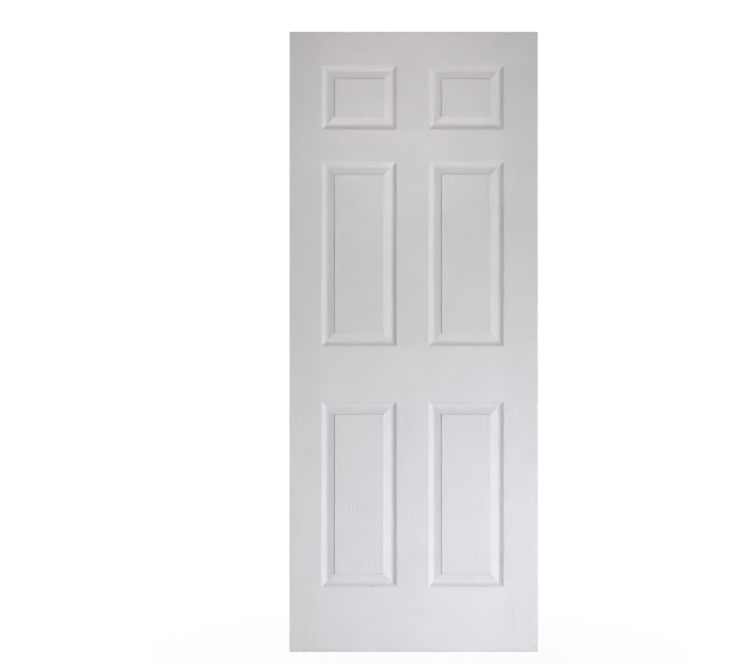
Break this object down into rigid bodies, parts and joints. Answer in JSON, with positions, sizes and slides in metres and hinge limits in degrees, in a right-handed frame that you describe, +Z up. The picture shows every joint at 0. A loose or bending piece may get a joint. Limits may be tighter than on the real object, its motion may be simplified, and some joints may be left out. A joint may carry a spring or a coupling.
{
  "type": "interior door",
  "caption": "White-primed hollow interior door leaf with moulded recessed panels and a pressed wood grain, unhung and unbored, to be hinged on either long edge.",
  "frame": {"origin": "middle of the bottom edge, halfway through the thickness", "axes": "+Z up along the leaf's height, X across its width, -Y out of the front face"},
  "size_m": [0.8128, 0.0348, 2.032],
  "materials": {
    "primed_fibreboard": "satin white primer",
    "softwood": "planed, unfinished",
    "kraft_paper": "matt"
  },
  "bodies": {
    "root": {"front_skin": "primed_fibreboard", "back_skin": "primed_fibreboard", "left_stile": "softwood", "right_stile": "softwood", "top_rail": "softwood", "bottom_rail": "softwood", "left_lock_block": "softwood", "right_lock_block": "softwood", "honeycomb_core": "kraft_paper"}
  },
  "joints": []
}
